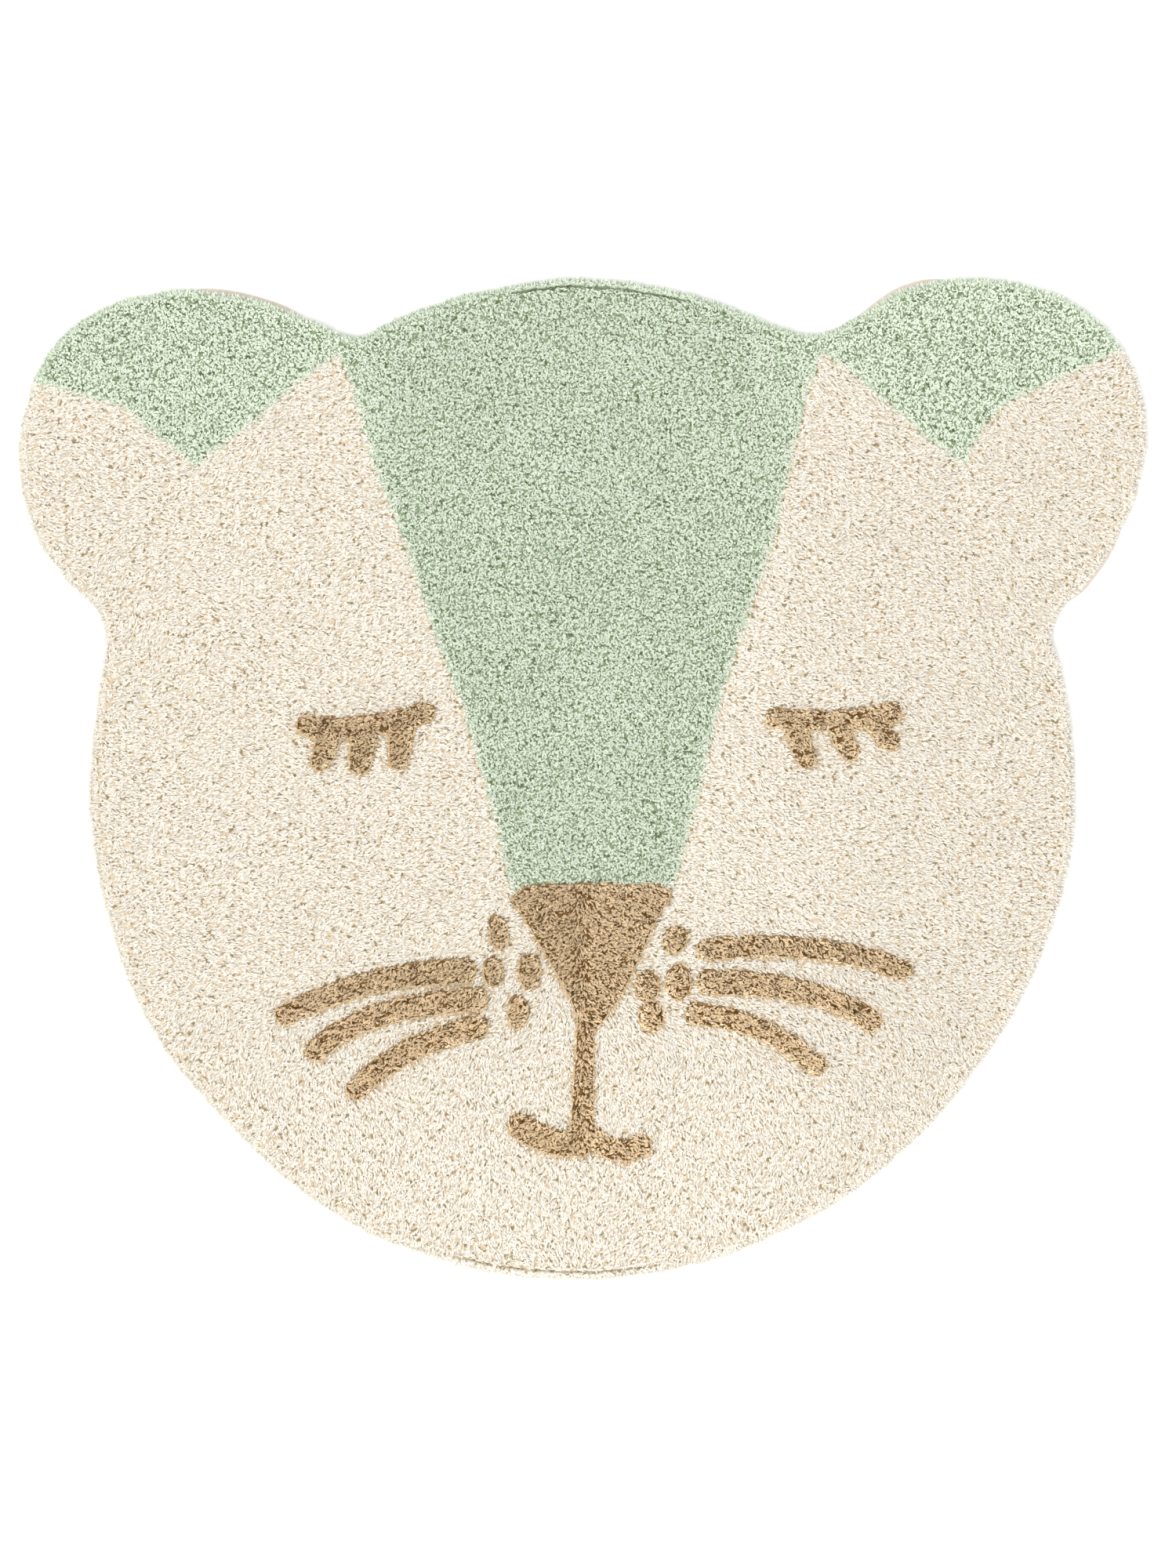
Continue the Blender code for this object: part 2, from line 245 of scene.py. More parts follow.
# Creases along the rim, where the pile parts: how far in they run, half the width without roots, how far
# they turn the yarns beside them, and the least dip of the CAD's pile in them.
CREASE_INSET = 8.3 * MM
CREASE_GAP = 0.95 * MM
CREASE_REACH = 4.5 * MM
CREASE_DIP = 2.2 * MM
# Beside a crease the yarns lie along it, with these shares of their own lean and of the way away from it.
CREASE_LEAN = 0.5
CREASE_AWAY = 0.2
# The ground in a crease is darker by this factor, as painted shade: between these insets, where it lies this
# low.
CREASE_PAINTED_SHADE = 0.95
CREASE_GROUND = (6.0 * MM, 13.0 * MM)
CREASE_LOW = 1.6 * MM

# Edge of the sage yarn against the cream, from the left ear's rim to the right ear's rim.
SAGE_EDGE = (
    # place, x in mm, y in mm
    ("left of the ear", -640, 440),
    ("left rim", -579, 421),
    ("left ear", -531, 406),
    ("left ear shoulder", -486, 394),
    ("left ear flank", -449, 362),
    ("left ear point", -409, 330),
    ("left ear rise", -353, 374),
    ("left ear top", -300, 420),
    ("left peak", -259, 449),
    ("band left top", -244, 415),
    ("band left brow", -223, 337),
    ("band left upper", -197, 273),
    ("band left middle", -157, 155),
    ("band left eye", -128, 78),
    ("band left lower", -99, -22),
    ("band left foot", -75, -118),
    ("band right foot", 97, -112),
    ("band right lower", 121, -22),
    ("band right eye", 144, 78),
    ("band right middle", 171, 165),
    ("band right upper", 201, 250),
    ("band right brow", 222, 344),
    ("band right top", 239, 415),
    ("right peak", 253, 453),
    ("right ear top", 300, 417),
    ("right ear rise", 362, 363),
    ("right ear point", 404, 331),
    ("right ear flank", 421, 370),
    ("right ear shoulder", 450, 399),
    ("right ear", 506, 424),
    ("right rim", 566, 452),
    ("right of the ear", 640, 486),
)
SAGE_CLOSE = (("above right", 640, 700), ("above left", -640, 700))

# Colours, linear.
COLOURS = {
    # yarn: tip, root darker as painted shade deep in the pile, frayed end of the tip paler also as a painted
    # highlight
    "cream": ((0.82, 0.78, 0.70), (0.61, 0.505, 0.37), (0.84, 0.81, 0.74)),
    "sage": ((0.70, 0.765, 0.64), (0.34, 0.41, 0.275), (0.74, 0.80, 0.685)),
    "tan": ((0.70, 0.52, 0.305), (0.15, 0.08, 0.028), (0.85, 0.745, 0.575)),
}
# Painted light at the rim, where light comes through the loose fibres: its colour, and the share of it for
# each yarn.
RIM_PAINTED_LIGHT_COLOURS = {"cream": (0.95, 0.91, 0.825), "sage": (0.78, 0.84, 0.72), "tan": COLOURS["tan"][0]}
RIM_PAINTED_LIGHT_SHARE = {"cream": 0.9, "sage": 0.3, "tan": 0.0}
# Where the light comes from, across and up the rug.
LIGHT_SIDE = np.array((-0.45, -0.89))
# How much lighter or darker each cut end is.
SHADES = {"cream": 0.12, "sage": 0.14, "tan": 0.40}
# How soon along a yarn its root's colour gives way to its tip's, from 0 for evenly.
TIP_CURVE = 1.2
# A yarn's shade: the plain one, and what its fibres, large patches and its ridge add; the ridge is lighter
# than the flanks, which take painted shade.
YARN_SHADE = 0.64
FIBRE_SHADE = 0.30
PATCH_SHADE = 0.06
FLANK_PAINTED_SHADE = 0.24
FRAYED_HIGHLIGHT_SHARE = 0.6
YARN_FIBRE = 1.5 * MM
YARN_PATCH = 90.0 * MM
# Colours of the dense lower part of the pile: darker than the yarns, as painted shade deep in the pile.
GROUND_COLOURS = {"cream": (0.62, 0.515, 0.38), "sage": (0.24, 0.305, 0.19), "tan": (0.155, 0.083, 0.027)}
# Small dark gaps in the ground, painted shade: what its colour is multiplied by, their size, and the noise at
# their edges.
GAP_PAINTED_SHADE = (0.44, 0.42, 0.31)
GAP_SIZE = 4.0 * MM
GAP_EDGES = (0.37, 0.52)
GROUND_FIBRE = 2.2 * MM
GROUND_SHADE = 0.75
GROUND_FIBRE_SHADE = 0.5
# Paler ground: painted light at the rim, with its share and reach, and less painted shade along the edge of
# the sage yarn.
RIM_GROUND_PALE = 0.7
RIM_GROUND = (1.5 * MM, 9.0 * MM)
SAGE_EDGE_GROUND = (-1.0 * MM, 4.0 * MM)
# Ground colours at edges: less painted shade along the sage yarn, painted light on a raised shape's steep
# sides, and painted shade on the sides that face up the rug, away from the light.
EDGE_COLOURS = {"sage": (0.45, 0.52, 0.40), "tan": (0.56, 0.42, 0.24), "tan in shade": (0.30, 0.19, 0.09)}
CANVAS_COLOUR = (0.80, 0.72, 0.64)
CANVAS_DARK = (0.62, 0.54, 0.46)
WEAVE_PITCH = 1.3 * MM
CANVAS_SLUB = 7.0 * MM
WEAVE_SHADE = 0.35
SLUB_SHADE = 0.5
SLUB_RELIEF = 0.4
# A Wave texture's bands are this far apart at scale 1.
WAVE_BAND = 0.31
THREAD_COLOUR = (0.80, 0.70, 0.58)
THREAD_DARK = (0.55, 0.44, 0.33)
FLOOR_COLOUR = (0.96, 0.96, 0.96)
SHEEN_ROUGHNESS = 0.6
COTTON_SPECULAR = 0.15

# Backing cloth: its hem is turned under and held by a row of machine stitches in a shallow groove, whose
# steps have an inset and a rise each.
HEM_SEAM = 17.0 * MM
HEM_GROOVE = ((0.5 * MM, 0.5 * MM), (1.8 * MM, 0.0), (0.5 * MM, -0.5 * MM))
HEM_EDGE = 3.2 * MM
HEM_STEP = 0.4 * MM
HEM_FOLD = 0.7 * MM
SHARP_ANGLE = 40.0
# Stitches of the hem, with drawn-in ends.
THREAD_PITCH = 6.0 * MM
THREAD_LENGTH = 5.2 * MM
THREAD_RADIUS = 0.45 * MM
THREAD_END = 0.7 * MM
THREAD_END_SCALE = 0.4

# Floor and light.
FLOOR_SIZE = 12.0
FLOOR_DROP = 0.2 * MM
ROOM_LIGHT = 1.10
SUN = {"azimuth": 222.0, "elevation": 60.0, "angle": 30.0, "strength": 1.45}
SUN_DISTANCE = 3.0

# Picture: 1442 pixels show the rug's width of 1.2 m. Lens and sensor are in millimetres.
PIXEL = 1.2 / 1442.0
PICTURE_WIDTH = 1500
PICTURE_HEIGHT = 2000
RUG_CENTRE_PIXEL = (743.5, 993.5)
LENS = 85.0
SENSOR = 36.0
CLIP_END = 50.0


# ---------------------------------------------------------------- small tools


def smooth_step(low, high, value):
    """Rise softly from 0 to 1 between two values, for arrays."""
    share = np.clip((value - low) / (high - low), 0.0, 1.0)
    return share * share * (3.0 - 2.0 * share)


def unit(vectors):
    """Vectors of length 1."""
    return vectors / np.maximum(np.linalg.norm(vectors, axis=-1, keepdims=True), 1e-9)


def soft_noise(points, length, seed):
    """Smooth noise from -1 to 1 at each point, with waves of the given length."""
    return np.array([noise.noise(Vector((x / length, y / length, seed))) for x, y in points])


def activate(piece):
    """Make one object the only selected and active one."""
    for other in bpy.context.view_layer.objects:
        other.select_set(False)
    piece.select_set(True)
    bpy.context.view_layer.objects.active = piece


def mesh_piece(name, vertices, triangles):
    """A new object from an array of vertices and an array of triangles."""
    mesh = bpy.data.meshes.new(name)
    mesh.vertices.add(len(vertices))
    mesh.vertices.foreach_set("co", np.asarray(vertices, np.float32).ravel())
    mesh.loops.add(3 * len(triangles))
    mesh.loops.foreach_set("vertex_index", np.asarray(triangles, np.int32).ravel())
    mesh.polygons.add(len(triangles))
    mesh.polygons.foreach_set("loop_start", np.arange(len(triangles), dtype=np.int32) * 3)
    mesh.polygons.foreach_set("loop_total", np.full(len(triangles), 3, np.int32))
    mesh.update(calc_edges=True)
    mesh.validate()
    piece = bpy.data.objects.new(name, mesh)
    bpy.context.scene.collection.objects.link(piece)
    return piece


# ------------------------------------------------------------------ finishes


class Value:
    """A number carried by a socket. Arithmetic on it adds Math nodes."""

    def __init__(self, finish, socket):
        self.finish = finish
        self.socket = socket

    def __add__(self, other):
        return self.finish.maths("ADD", self, other)

    def __radd__(self, other):
        return self.finish.maths("ADD", other, self)

    def __sub__(self, other):
        return self.finish.maths("SUBTRACT", self, other)

    def __rsub__(self, other):
        return self.finish.maths("SUBTRACT", other, self)

    def __mul__(self, other):
        return self.finish.maths("MULTIPLY", self, other)

    def __rmul__(self, other):
        return self.finish.maths("MULTIPLY", other, self)


class Finish:
    """One material in the making."""

    def __init__(self, name, roughness, sheen):
        self.material = bpy.data.materials.new(name)
        self.material.use_nodes = True
        self.tree = self.material.node_tree
        self.surface = self.tree.nodes["Principled BSDF"]
        self.surface.inputs["Roughness"].default_value = roughness
        self.surface.inputs["Sheen Weight"].default_value = sheen
        self.surface.inputs["Sheen Roughness"].default_value = SHEEN_ROUGHNESS
        self.surface.inputs["Specular IOR Level"].default_value = COTTON_SPECULAR

    def add(self, kind, settings, sockets, output=0):
        """Add a node: its settings first, then the values or links of its sockets. Gives one output."""
        node = self.tree.nodes.new(kind)
        for name, value in settings.items():
            setattr(node, name, value)
        for name, value in sockets.items():
            self.feed(node.inputs[name], value)
        return Value(self, node.outputs[output])

    def feed(self, socket, value):
        """Link a value to a socket, or set the socket."""
        if isinstance(value, Value):
            self.tree.links.new(value.socket, socket)
        else:
            socket.default_value = value

    def maths(self, operation, first, second):
        """Add one Math node."""
        return self.add("ShaderNodeMath", {"operation": operation}, {0: first, 1: second})

    def mix(self, factor, first, second):
        """Mix two colours."""
        sockets = {0: factor, 6: opaque(first), 7: opaque(second)}
        return self.add("ShaderNodeMix", {"data_type": "RGBA"}, sockets, 2)

    def scale(self, colour, factor):
        """Make a colour lighter or darker by a factor."""
        return self.add("ShaderNodeVectorMath", {"operation": "SCALE"}, {0: colour, "Scale": factor})

    def attribute(self, name):
        """A number stored on the mesh."""
        return self.add("ShaderNodeAttribute", {"attribute_name": name}, {}, 2)

    def place(self):
        """The point's place on the object."""
        return self.add("ShaderNodeTexCoord", {}, {}, 3)

    def cloud(self, length, detail=2.0):
        """Noise from 0 to 1 with waves of the given length."""
        sockets = {"Vector": self.place(), "Scale": 1.0 / length, "Detail": detail}
        return self.add("ShaderNodeTexNoise", {}, sockets)

    def relief(self, height, depth, strength):
        """Bump that feeds the normal."""
        sockets = {"Height": height, "Distance": depth, "Strength": strength}
        self.feed(self.surface.inputs["Normal"], self.add("ShaderNodeBump", {}, sockets))

    def colour(self, colour):
        """Set what colours the surface."""
        self.feed(self.surface.inputs["Base Color"], colour)


def opaque(colour):
    """A colour with its alpha, or a link as it is."""
    return colour if isinstance(colour, Value) else (*colour, 1.0)


def yarn_finish(yarn):
    """Matt cotton yarn: lighter at the cut tip than at the root, each end a little different; painted shade
    at the root, on the flanks, in partings and on the right side, a painted highlight at the tip, painted
    light at the rim.
    """
    tip, root, frayed_highlight = COLOURS[yarn]
    finish = Finish(yarn + " cotton yarn", roughness=0.92, sheen=0.05)
    along = finish.attribute("height")
    fibre = finish.cloud(YARN_FIBRE)
    patch = finish.cloud(YARN_PATCH)
    # The root's colour is painted shade deep in the pile.
    colour = finish.mix(along * (1.0 + TIP_CURVE - TIP_CURVE * along), root, tip)
    # Frayed fibres at the very tip, paler also as a painted highlight.
    colour = finish.mix(FRAYED_HIGHLIGHT_SHARE * along * along * along, colour, frayed_highlight)
    ridge = finish.attribute("ridge")
    shade = YARN_SHADE + SHADES[yarn] * (finish.attribute("shade") - 0.5)
    # Random tone, fibres and patches, with painted shade on the flanks, on sunk yarns and on the right side.
    toned_and_shaded = finish.scale(colour, shade + FIBRE_SHADE * fibre + PATCH_SHADE * patch + FLANK_PAINTED_SHADE * ridge)
    # Painted light at the rim.
    finish.colour(finish.mix(RIM_PAINTED_LIGHT_SHARE[yarn] * finish.attribute("rim"), toned_and_shaded, RIM_PAINTED_LIGHT_COLOURS[yarn]))
    finish.relief(fibre, depth=1.0 * MM, strength=0.5)
    return finish.material


def ground_finish():
    """The dense lower part of the pile: felted fibres, with painted shade in small dark gaps."""
    finish = Finish("dense pile", roughness=0.98, sheen=0.0)
    colour = finish.add("ShaderNodeAttribute", {"attribute_name": "yarn"}, {}, 0)
    fibre = finish.cloud(GROUND_FIBRE)
    dark, full = GAP_EDGES
    gaps = {0: finish.cloud(GAP_SIZE), 1: dark, 2: full}
    light = finish.add("ShaderNodeMapRange", {"interpolation_type": "SMOOTHSTEP"}, gaps)
    tint = finish.mix(light, GAP_PAINTED_SHADE, (1.0, 1.0, 1.0))
    colour = finish.add("ShaderNodeVectorMath", {"operation": "MULTIPLY"}, {0: colour, 1: tint})
    finish.colour(finish.scale(colour, GROUND_SHADE + GROUND_FIBRE_SHADE * fibre))
    finish.relief(fibre, depth=1.5 * MM, strength=0.8)
    return finish.material


def canvas_finish():
    """Plain woven cotton canvas: fine warp and weft with slubs."""
    finish = Finish("cotton canvas", roughness=0.9, sheen=0.1)
    waves = {"wave_type": "BANDS", "wave_profile": "SIN"}
    scale = WAVE_BAND / WEAVE_PITCH
    sockets = {"Vector": finish.place(), "Scale": scale, "Distortion": 0.6, "Detail": 1.0}
    warp = finish.add("ShaderNodeTexWave", {**waves, "bands_direction": "X"}, sockets, 1)
    weft = finish.add("ShaderNodeTexWave", {**waves, "bands_direction": "Y"}, sockets, 1)
    slub = finish.cloud(CANVAS_SLUB, detail=3.0)
    weave = warp * weft
    finish.colour(finish.mix(WEAVE_SHADE * weave + SLUB_SHADE * slub, CANVAS_DARK, CANVAS_COLOUR))
    finish.relief(weave + SLUB_RELIEF * slub, depth=0.5 * MM, strength=0.6)
    return finish.material


def thread_finish():
    """Sewing thread of the hem."""
    finish = Finish("sewing thread", roughness=0.6, sheen=0.2)
    finish.colour(finish.mix(finish.cloud(1.0 * MM), THREAD_DARK, THREAD_COLOUR))
    return finish.material


def floor_finish():
    """Plain pale floor."""
    finish = Finish("pale floor", roughness=0.9, sheen=0.0)
    finish.colour(opaque(FLOOR_COLOUR))
    return finish.material


# ------------------------------------------------------------- the CAD's form


def underside_loop(node):
    """The edge of a CAD node's flat underside, as ordered points that begin at the rightmost one."""
    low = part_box(node)[0][2] + MM
    shape = bmesh.new()
    shape.from_mesh(frame["nodes"][node].data)
    bmesh.ops.remove_doubles(shape, verts=shape.verts, dist=MERGE_REACH)
    down = [face for face in shape.faces if face.normal.z < FACING_DOWN]
    sole = {face for face in down if face.calc_center_median().z < low}
    after = {}
    for face in sole:
        for loop in face.loops:
            if loop.link_loop_radial_next.face not in sole:
                after[loop.vert] = loop.link_loop_next.vert
    ring = [max(after, key=lambda vertex: vertex.co[:])]
    while after[ring[-1]] is not ring[0]:
        ring.append(after[ring[-1]])
    points = np.array([(vertex.co.x, vertex.co.y) for vertex in ring])
    shape.free()
    return points


def inside_loop(points, loop):
    """Whether each point lies inside a closed loop."""
    inside = np.zeros(len(points), bool)
    x, y = points[:, 0], points[:, 1]
    for (x1, y1), (x2, y2) in zip(loop, np.roll(loop, -1, axis=0)):
        if y1 == y2:
            continue
        crosses = (y1 > y) != (y2 > y)
        inside ^= crosses & (x < x1 + (x2 - x1) * (y - y1) / (y2 - y1))
    return inside


def rim_facts(points, loop, batch=4000):
    """Inset of each point from the rim, negative outside, and the direction out of the rug."""
    ahead = np.roll(loop, -1, axis=0) - loop
    squared = (ahead * ahead).sum(axis=1)
    inset = np.empty(len(points))
    outward = np.empty((len(points), 2))
    for first in range(0, len(points), batch):
        part = points[first:first + batch, None, :]
        share = np.clip(((part - loop) * ahead).sum(axis=2) / squared, 0.0, 1.0)
        gap = loop + share[..., None] * ahead - part
        distance = np.hypot(gap[..., 0], gap[..., 1])
        nearest = distance.argmin(axis=1)
        rows = np.arange(len(nearest))
        inset[first:first + batch] = distance[rows, nearest]
        outward[first:first + batch] = gap[rows, nearest]
    sign = np.where(inside_loop(points, loop), 1.0, -1.0)
    return inset * sign, unit(outward) * sign[:, None]


def pile_surface():
    """The top of the CAD pile, as a function from points to heights. It is NaN past the rim."""
    mesh = frame["nodes"]["pile"].data
    tree = BVHTree.FromPolygons(
        [vertex.co.copy() for vertex in mesh.vertices],
        [tuple(polygon.vertices) for polygon in mesh.polygons],
    )
    down = Vector((0.0, 0.0, -1.0))

    def heights(points):
        found = np.full(len(points), np.nan)
        for number, (x, y) in enumerate(points):
            place = tree.ray_cast(Vector((x, y, ABOVE_PILE)), down)[0]
            if place is not None:
                found[number] = place.z
        return found

    return heights


def sage_loop():
    """Closed loop round the sage yarn."""
    return np.array([(x, y) for _, x, y in SAGE_EDGE + SAGE_CLOSE]) * MM


# ------------------------------------------------------------------ the pile


def tuft(yarn, sage, loop, heights, random):
    """Roots of one yarn's cut ends, clear of the creases, and the stitch of each."""
    reach = np.abs(loop).max(axis=0)
    rows = np.arange(-int(reach[0] / ROW_PITCH) - 1, int(reach[0] / ROW_PITCH) + 2)
    stitches = np.arange(-int(reach[1] / STITCH_PITCH) - 1, int(reach[1] / STITCH_PITCH) + 2)
    row, stitch = np.meshgrid(rows, stitches, indexing="ij")
    centre = np.stack([row * ROW_PITCH, (stitch + 0.5 * (row % 2)) * STITCH_PITCH], axis=-1).reshape(-1, 2)
    roots = np.concatenate([centre + np.array(end) for end in STITCHES[yarn]])
    numbers = np.tile(np.arange(len(centre)), len(STITCHES[yarn]))
    roots += random.uniform(-ROOT_JITTER, ROOT_JITTER, roots.shape)
    wanted = sort_roots(roots, sage, heights, random) == yarn
    roots, numbers = roots[wanted], numbers[wanted]
    inset, outward = rim_facts(roots, loop)
    kept = (inset > ROOT_INSET) & ~near_crease(roots, inset, outward, heights, CREASE_GAP)
    return roots[kept], numbers[kept]


def sort_roots(roots, sage, heights, random):
    """The yarn that each root carries."""
    stray = random.normal(0.0, 1.0, roots.shape)
    lean = tan_angles(roots)
    ahead = TAN_SHIFT * np.stack([np.cos(lean), np.sin(lean)], axis=-1)
    is_tan = heights(roots + ahead + TAN_STRAY * stray) > GROUND_TOP + TAN_RISE
    return np.where(is_tan, "tan", np.where(inside_loop(roots + SAGE_STRAY * stray, sage), "sage", "cream"))


def tan_angles(points):
    """Direction in which the yarns of the raised shapes lean: outward from the middle and a little down."""
    across = np.where(points[:, 0] < 0.0, -1.0, 1.0) * smooth_step(0.0, TAN_MIDDLE, np.abs(points[:, 0]))
    return np.arctan2(TAN_DOWN, across)


def near_crease(points, inset, outward, heights, reach):
    """Whether each point lies within a reach of one of the creases along the rim."""
    beyond = inset - CREASE_INSET
    near = np.abs(beyond) < reach
    line = points[near] + outward[near] * beyond[near][:, None]
    near[near] = heights(line) < GROUND_TOP - CREASE_DIP
    return near


def part_at_crease(lean, roots, inset, outward, heights):
    """Turn the yarns beside a crease along it."""
    beside = near_crease(roots, inset, outward, heights, CREASE_REACH)
    onward = np.stack([-outward[:, 1], outward[:, 0]], axis=-1)
    onward *= np.where((onward * lean).sum(axis=1) < 0.0, -1.0, 1.0)[:, None]
    away = outward * np.sign(CREASE_INSET - inset)[:, None]
    return np.where(beside[:, None], unit(onward + CREASE_LEAN * lean + CREASE_AWAY * away), lean)


def waves(points, length, degrees, plane):
    """How far waves of a length turn the lay at each point, in radians."""
    return soft_noise(points, length, plane) * math.radians(degrees)


def lay_angles(points, yarn, of_tuft, of_end):
    """Direction in which each yarn leans, in radians."""
    side = np.where(points[:, 0] < 0.0, -1.0, 1.0)
    chin = smooth_step(*LAY_CHIN, points[:, 1])
    across = side * (1.0 - chin) * smooth_step(0.0, LAY_MIDDLE, np.abs(points[:, 0]))
    angle = np.arctan2(LAY_DOWN - chin, across)
    if yarn == "sage":
        angle = waves(points, *SAGE_SWIRL) - 0.5 * math.pi
    if yarn == "tan":
        angle = tan_angles(points)
    angle = angle + waves(points, *SWIRL) + waves(points, *CURL)
    _, _, tuft_spread, end_spread = YARNS[yarn]
    spread = math.radians(tuft_spread) * (1.0 + CHIN_SPREAD * chin) * of_tuft
    return angle + spread + math.radians(end_spread) * of_end


def lean_outward(lean, inset, outward):
    """Turn the yarns near the rim outward."""
    share = RIM_TURN * (1.0 - smooth_step(RIM_LEAN_FROM, RIM_LEAN_TO, inset))[:, None]
    return unit(lean * (1.0 - share) + RIM_PULL * outward * share)


def kept_reach(roots, lean, reach, inset, loop, heights, overhang):
    """Shorten the reach of yarns that would pass the rim by more than their overhang, or cross a crease."""
    inset_tips, _ = rim_facts(roots + lean * reach[:, None], loop)
    room = (inset + overhang) / np.maximum(inset - inset_tips, 0.1 * MM)
    reach = np.where(inset_tips < -overhang, reach * np.clip(room, LEAST_REACH, 1.0), reach)
    crosses = np.zeros(len(roots), bool)
    for share in PLACES_ALONG:
        crosses |= heights(roots + lean * (share * reach)[:, None]) < heights(roots) - FEATURE_STEP
    return np.where(crosses, CROSSING_REACH * reach, reach)


def lay_yarns(roots, numbers, yarn, loop, heights, random):
    """Roots and tips of one colour's yarns, how far each is sunk in a parting, and how pale its root is."""
    count = len(roots)
    of_tuft = random.normal(0.0, 1.0, (numbers.max() + 1, 2))[numbers]
    of_end = random.normal(0.0, 1.0, (count, 2))
    inset, outward = rim_facts(roots, loop)
    angle = lay_angles(roots, yarn, of_tuft[:, 0], of_end[:, 0])
    angle += math.pi * (random.uniform(0.0, 1.0, count) < OPENED[yarn])
    lean = lean_outward(np.stack([np.cos(angle), np.sin(angle)], axis=-1), inset, outward)
    lean = part_at_crease(lean, roots, inset, outward, heights)
    reach = YARNS[yarn][1] * random.uniform(*REACH_SHARES, count)
    if yarn != "tan":
        overhang = RIM_OVERHANG * random.uniform(*OVERHANG_SHARES, count)
        reach = kept_reach(roots, lean, reach, inset, loop, heights, overhang)
    tips = roots + lean * reach[:, None]
    level, past = tip_levels(roots, tips, yarn, heights, random)
    uneven = np.abs(of_tuft[:, 1]) * UNEVEN[yarn][0] + np.abs(of_end[:, 1]) * UNEVEN[yarn][1]
    sunk = np.where(past, 0.0, parting_share(roots, yarn))
    level -= uneven + PARTING_DEPTH * sunk
    base = np.maximum(np.minimum(heights(roots), level) - ROOT_DEPTH[yarn], PILE_BASE)
    pale = root_paleness(roots, yarn, inset, outward, heights)
    return np.column_stack([roots, base]), np.column_stack([tips, level]), sunk, pale


def tip_levels(roots, tips, yarn, heights, random):
    """Height of the pile at each tip, or one down the side of the rim, and whether the tip is past it."""
    level = heights(tips)
    past = np.isnan(level)
    level = np.where(past, PILE_BASE + random.uniform(*TIPS_PAST_RIM, len(tips)) * MM, level)
    if yarn == "tan":
        return np.maximum(level, heights(roots) - TAN_DROOP), past
    return np.minimum(level, FIELD_TOP), past


def root_paleness(roots, yarn, inset, outward, heights):
    """How pale each root is: more near an edge, where light reaches it, as painted light, and on the sage
    ears.
    """
    if yarn == "tan":
        return edge_paleness(roots, heights)
    pale = RIM_ROOT_PALE * facing(outward) * (1.0 - smooth_step(*RIM_ROOTS, inset))
    if yarn == "sage":
        pale = np.maximum(pale, EAR_PALE * ear_share(roots))
    return pale


def edge_paleness(roots, heights):
    """How pale each root on a raised shape is: more near its edge, as painted light, but less at the upper
    edge, in painted shade.
    """
    pale = np.zeros(len(roots))
    edges = (
        # steps across and up the rug in edge widths, paleness
        (0.0, 1.0, UPPER_EDGE_PALE),
        (-1.0, 0.0, EDGE_PALE),
        (1.0, 0.0, EDGE_PALE),
        (0.0, -1.0, EDGE_PALE),
    )
    for across, up, share in edges:
        beyond = roots + EDGE_WIDTH * np.array((across, up))
        pale[heights(beyond) < GROUND_TOP + FEATURE_STEP] = share
    return pale


def parting_share(points, yarn):
    """How far each yarn is sunk in a parting of the pile, from 0 to 1."""
    squeeze, length, low, high = PARTINGS[yarn]
    return smooth_step(low, high, soft_noise(points * (squeeze, 1.0), length, PARTING_PLANE))


def rim_shares(ends, loop):
    """How much painted light of the rim each yarn's root and tip take: how near the rim they are, from 0
    inside to 1 at the rim on the light's side.
    """
    shares = []
    for end in ends[:2]:
        inset, outward = rim_facts(end[:, :2], loop)
        shares.append(facing(outward) * (1.0 - smooth_step(*RIM_PAINTED_LIGHT_REACH, inset)))
    return shares


def facing(outward):
    """How far the rim faces the light, from 0.2 to 1."""
    return SIDE_ON + (1.0 - SIDE_ON) * outward @ LIGHT_SIDE


def walk_loop(loop, pitch, random=None):
    """Points along a closed loop, about a pitch apart, with the direction on and the one out."""
    ahead = np.roll(loop, -1, axis=0) - loop
    along = np.concatenate(([0.0], np.cumsum(np.hypot(ahead[:, 0], ahead[:, 1]))))
    closed = np.vstack([loop, loop[:1]])
    count = int(along[-1] / pitch)
    stray = random.uniform(0.0, 1.0, count) if random else 0.5
    spots = (np.arange(count) + stray) * (along[-1] / count)
    points = np.stack([np.interp(spots, along, closed[:, axis]) for axis in range(2)], axis=-1)
    onward = unit(ahead[np.searchsorted(along, spots, side="right") - 1])
    area = (loop[:, 0] * np.roll(loop[:, 1], -1) - np.roll(loop[:, 0], -1) * loop[:, 1]).sum()
    outward = np.stack([onward[:, 1], -onward[:, 0]], axis=-1) * np.sign(area)
    return points, onward, outward


def lay_rim_yarns(loop, random):
    """Roots, tips and sinking of extra yarns down the side of the rim, which hide the backing's edge."""
    ends = []
    for inset, low, high, reach in RIM_ROWS:
        foot, onward, outward = walk_loop(loop, RIM_STITCH, random)
        count = len(foot)
        lean = unit(outward + onward * random.normal(0.0, RIM_STRAY, count)[:, None])
        roots = foot - outward * (inset * random.uniform(*RIM_UNEVEN, count))[:, None]
        tips = roots + lean * (inset + reach * random.uniform(*RIM_REACH, count))[:, None]
        base = PILE_BASE + low * random.uniform(*RIM_UNEVEN, count)
        level = PILE_BASE + high * random.uniform(*RIM_UNEVEN, count)
        sunk = RIM_SUNK * random.uniform(0.0, 1.0, count) ** 2
        ends.append((np.column_stack([roots, base]), np.column_stack([tips, level]), sunk))
    return tuple(np.concatenate(part) for part in zip(*ends))


